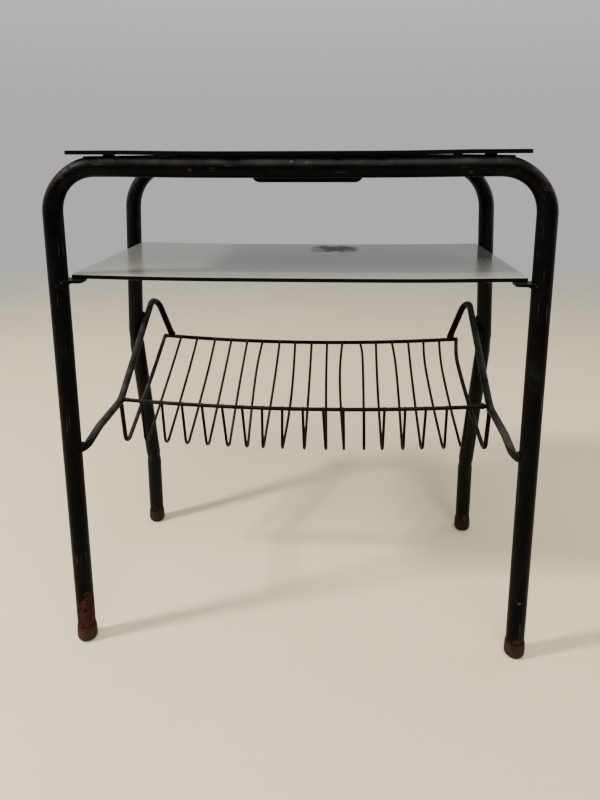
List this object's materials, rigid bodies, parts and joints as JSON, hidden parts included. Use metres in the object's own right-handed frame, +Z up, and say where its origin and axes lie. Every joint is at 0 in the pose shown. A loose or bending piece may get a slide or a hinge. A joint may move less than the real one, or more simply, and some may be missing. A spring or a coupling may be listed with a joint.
{
  "type": "side table",
  "caption": "Low side table of bent black steel tube with a black glass top, a black glass shelf under it and a slanted wire rack for magazines",
  "frame": {"origin": "on the floor, under the middle of the table's outer box", "axes": "+X to the right and +Y to the back as seen from the front, where the tall side of the rack is at the back; +Z up"},
  "size_m": [0.5088, 0.3166, 0.5465],
  "materials": {
    "black_paint": "worn satin black paint with scratches and chips",
    "black_glass": "polished opaque black glass with dust",
    "rusty_steel": "rusty brown steel",
    "pad_rubber": "matt"
  },
  "bodies": {
    "root": {"front_frame": "black_paint", "rear_frame": "black_paint", "side_bar_left": "black_paint", "side_bar_right": "black_paint", "rear_grip_rod": "black_paint", "rack_rod_left": "black_paint", "rack_rod_right": "black_paint", "rack_front_rail": "black_paint", "rack_rear_rail": "black_paint", "rack_end_wire_left": "black_paint", "rack_end_wire_right": "black_paint", "shelf_tab_front_left": "black_paint", "shelf_tab_front_right": "black_paint", "shelf_tab_rear_left": "black_paint", "shelf_tab_rear_right": "black_paint", "rack_wire_01": "black_paint", "rack_wire_02": "black_paint", "rack_wire_03": "black_paint", "rack_wire_04": "black_paint", "rack_wire_05": "black_paint", "rack_wire_06": "black_paint", "rack_wire_07": "black_paint", "rack_wire_08": "black_paint", "rack_wire_09": "black_paint", "rack_wire_10": "black_paint", "rack_wire_11": "black_paint", "rack_wire_12": "black_paint", "rack_wire_13": "black_paint", "rack_wire_14": "black_paint", "rack_wire_15": "black_paint", "rack_wire_16": "black_paint", "rack_wire_17": "black_paint", "foot_front_left": "rusty_steel", "foot_front_right": "rusty_steel", "foot_rear_left": "rusty_steel", "foot_rear_right": "rusty_steel", "top_pad_front_left": "pad_rubber", "top_pad_front_right": "pad_rubber", "top_pad_rear_left": "pad_rubber", "top_pad_rear_right": "pad_rubber", "top_glass": "black_glass", "shelf_glass": "black_glass"}
  },
  "joints": []
}
